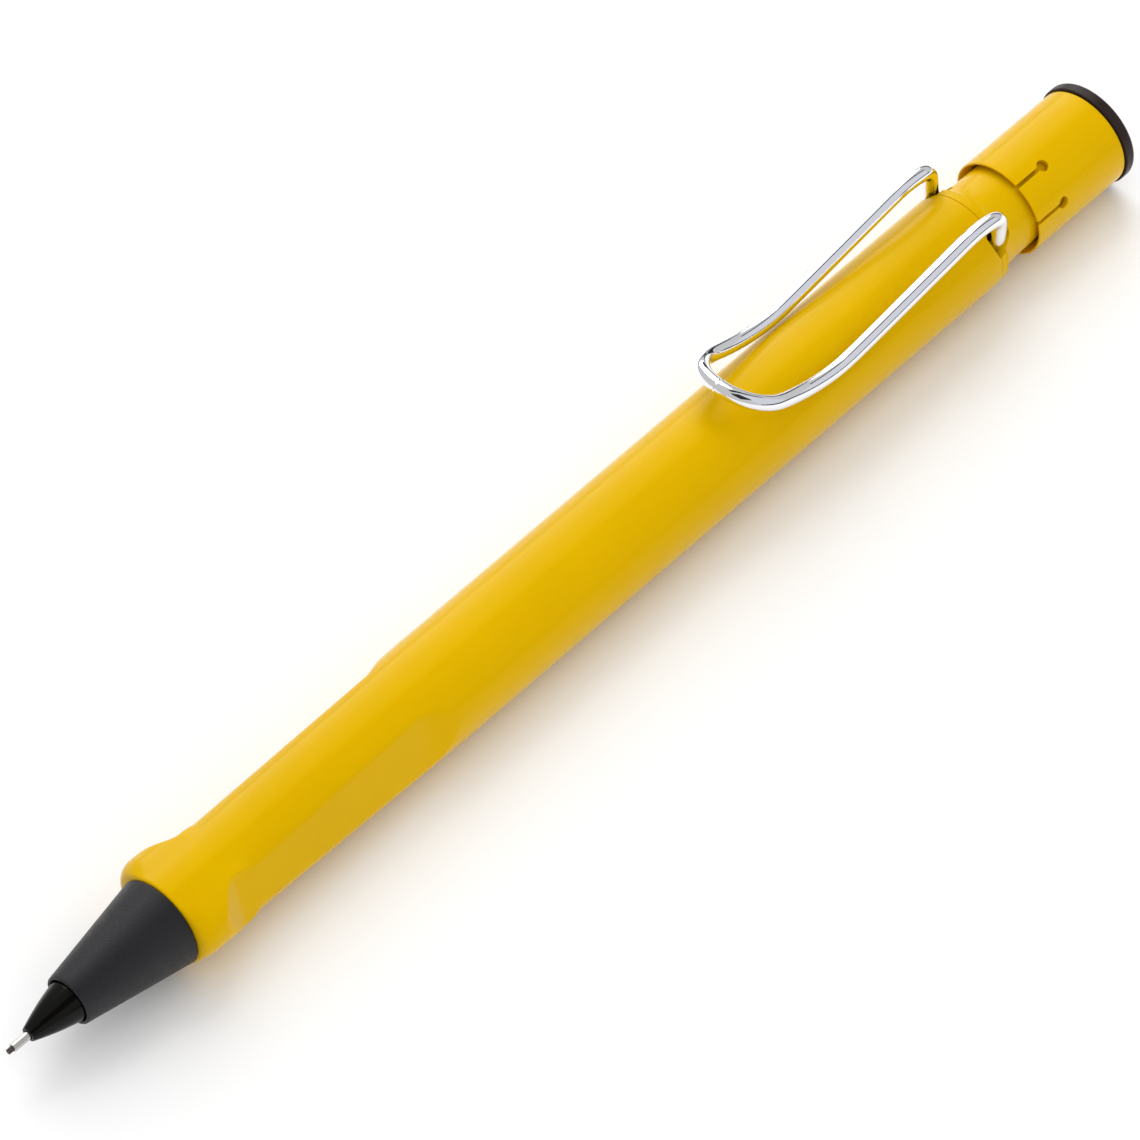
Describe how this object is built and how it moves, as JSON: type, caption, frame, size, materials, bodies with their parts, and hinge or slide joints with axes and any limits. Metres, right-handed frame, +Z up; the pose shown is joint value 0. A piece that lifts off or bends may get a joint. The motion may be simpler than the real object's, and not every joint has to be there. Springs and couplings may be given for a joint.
{
  "type": "mechanical pencil",
  "caption": "Slim round mechanical pencil with a grip of finger flats, a U-shaped sprung wire clip, a push button with keyhole slots and a tapered tip.",
  "frame": {"origin": "centre of the bounding box's bottom face, under the pencil as it lies with its clip on top", "axes": "+X along the pencil from the lead to the push button, +Z up through the middle of the clip, +Y across"},
  "size_m": [0.1396, 0.0116, 0.0143],
  "materials": {
    "barrel_yellow": "smooth moulded yellow ABS, high gloss",
    "button_yellow": "smooth moulded yellow ABS, high gloss",
    "disc_black": "dark, slightly brownish black plastic, semi gloss",
    "cone_black": "satin black plastic with a fine matt grain",
    "nozzle_black": "polished black",
    "clip_chrome": "bright chrome on spring steel wire",
    "sleeve_steel": "drawn stainless steel tube",
    "spring_steel": "bright spring wire",
    "brass": "turned brass",
    "tube_grey": "extruded grey plastic tube",
    "retainer_rubber": "soft black rubber",
    "graphite": "dark grey graphite lead",
    "eraser_white": "white eraser rubber"
  },
  "bodies": {
    "barrel": {"barrel": "barrel_yellow", "neck_collar": "button_yellow", "mechanism_housing": "brass", "chuck_spring": "spring_steel"},
    "clip": {"clip_wire": "clip_chrome"},
    "front_cone": {"front_cone": "cone_black"},
    "tip": {"nozzle": "nozzle_black", "lead_sleeve": "sleeve_steel", "lead_retainer": "retainer_rubber"},
    "clutch": {"clutch_ring": "brass"},
    "pusher": {"lead_tube": "tube_grey", "collet_connector": "brass", "collet": "brass", "spare_lead_1": "graphite", "spare_lead_2": "graphite", "spare_lead_3": "graphite"},
    "lead": {"lead": "graphite"},
    "button": {"push_button": "button_yellow", "button_disc": "disc_black"},
    "eraser": {"eraser_ferrule": "sleeve_steel", "eraser": "eraser_white", "cleaning_needle": "sleeve_steel"}
  },
  "joints": [
    {"name": "clip_flex", "type": "hinge", "parent": "barrel", "child": "clip", "pos_m": [0.05173, 0, 0.00671], "axis": [0, 1, 0], "range_deg": [0, 4], "stiffness_Nm_per_rad": 0.02},
    {"name": "front_cone_off", "type": "slide", "parent": "barrel", "child": "front_cone", "axis": [-1, 0, 0], "range_m": [0, 0.026]},
    {"name": "nozzle_off", "type": "slide", "parent": "barrel", "child": "tip", "axis": [-1, 0, 0], "range_m": [0, 0.013]},
    {"name": "button_push", "type": "slide", "parent": "barrel", "child": "pusher", "axis": [-1, 0, 0], "range_m": [0, 0.0013], "stiffness_N_per_m": 300, "springref_m": -0.005, "deforming": ["chuck_spring"]},
    {"name": "clutch_slide", "type": "slide", "parent": "barrel", "child": "clutch", "axis": [-1, 0, 0], "range_m": [0, 0.0006]},
    {"name": "lead_feed", "type": "slide", "parent": "pusher", "child": "lead", "axis": [-1, 0, 0], "range_m": [-0.00055, 0.006]},
    {"name": "button_pull", "type": "slide", "parent": "pusher", "child": "button", "axis": [1, 0, 0], "range_m": [0, 0.03]},
    {"name": "eraser_pull", "type": "slide", "parent": "pusher", "child": "eraser", "axis": [1, 0, 0], "range_m": [0, 0.018]}
  ],
  "couplings": [
    {"joint": "clutch_slide", "follows": "button_push", "ratio": 0.46},
    {"joint": "eraser_pull", "follows": "button_pull", "ratio": 0.6}
  ]
}
